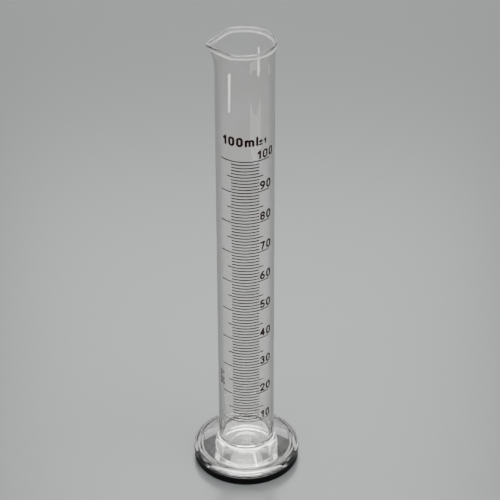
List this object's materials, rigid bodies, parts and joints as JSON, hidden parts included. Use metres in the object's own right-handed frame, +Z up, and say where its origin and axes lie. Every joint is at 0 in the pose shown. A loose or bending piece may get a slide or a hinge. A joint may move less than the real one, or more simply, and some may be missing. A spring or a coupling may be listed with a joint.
{
  "type": "graduated cylinder",
  "caption": "Tall clear glass measuring cylinder with a pouring spout, a fused-on brown volume scale, and a round glass foot on a black rubber ring.",
  "frame": {"origin": "centre of the contact face under the foot ring, on the cylinder's axis", "axes": "+Z up along the cylinder's axis; the printed scale faces -Y; the pouring spout points along -X"},
  "size_m": [0.0564, 0.0564, 0.25],
  "materials": {
    "clear_glass": "clear, fire polished",
    "black_rubber": "satin moulded rubber",
    "brown_enamel": "fired screen-printed enamel, slightly glossy"
  },
  "bodies": {
    "root": {"cylinder_tube": "clear_glass", "foot": "clear_glass", "foot_ring": "black_rubber", "minor_graduations": "brown_enamel", "five_ml_graduations": "brown_enamel", "ten_ml_graduations": "brown_enamel", "numeral_10": "brown_enamel", "numeral_20": "brown_enamel", "numeral_30": "brown_enamel", "numeral_40": "brown_enamel", "numeral_50": "brown_enamel", "numeral_60": "brown_enamel", "numeral_70": "brown_enamel", "numeral_80": "brown_enamel", "numeral_90": "brown_enamel", "numeral_100": "brown_enamel", "capacity_label": "brown_enamel", "tolerance_mark": "brown_enamel", "temperature_mark": "brown_enamel"}
  },
  "joints": []
}
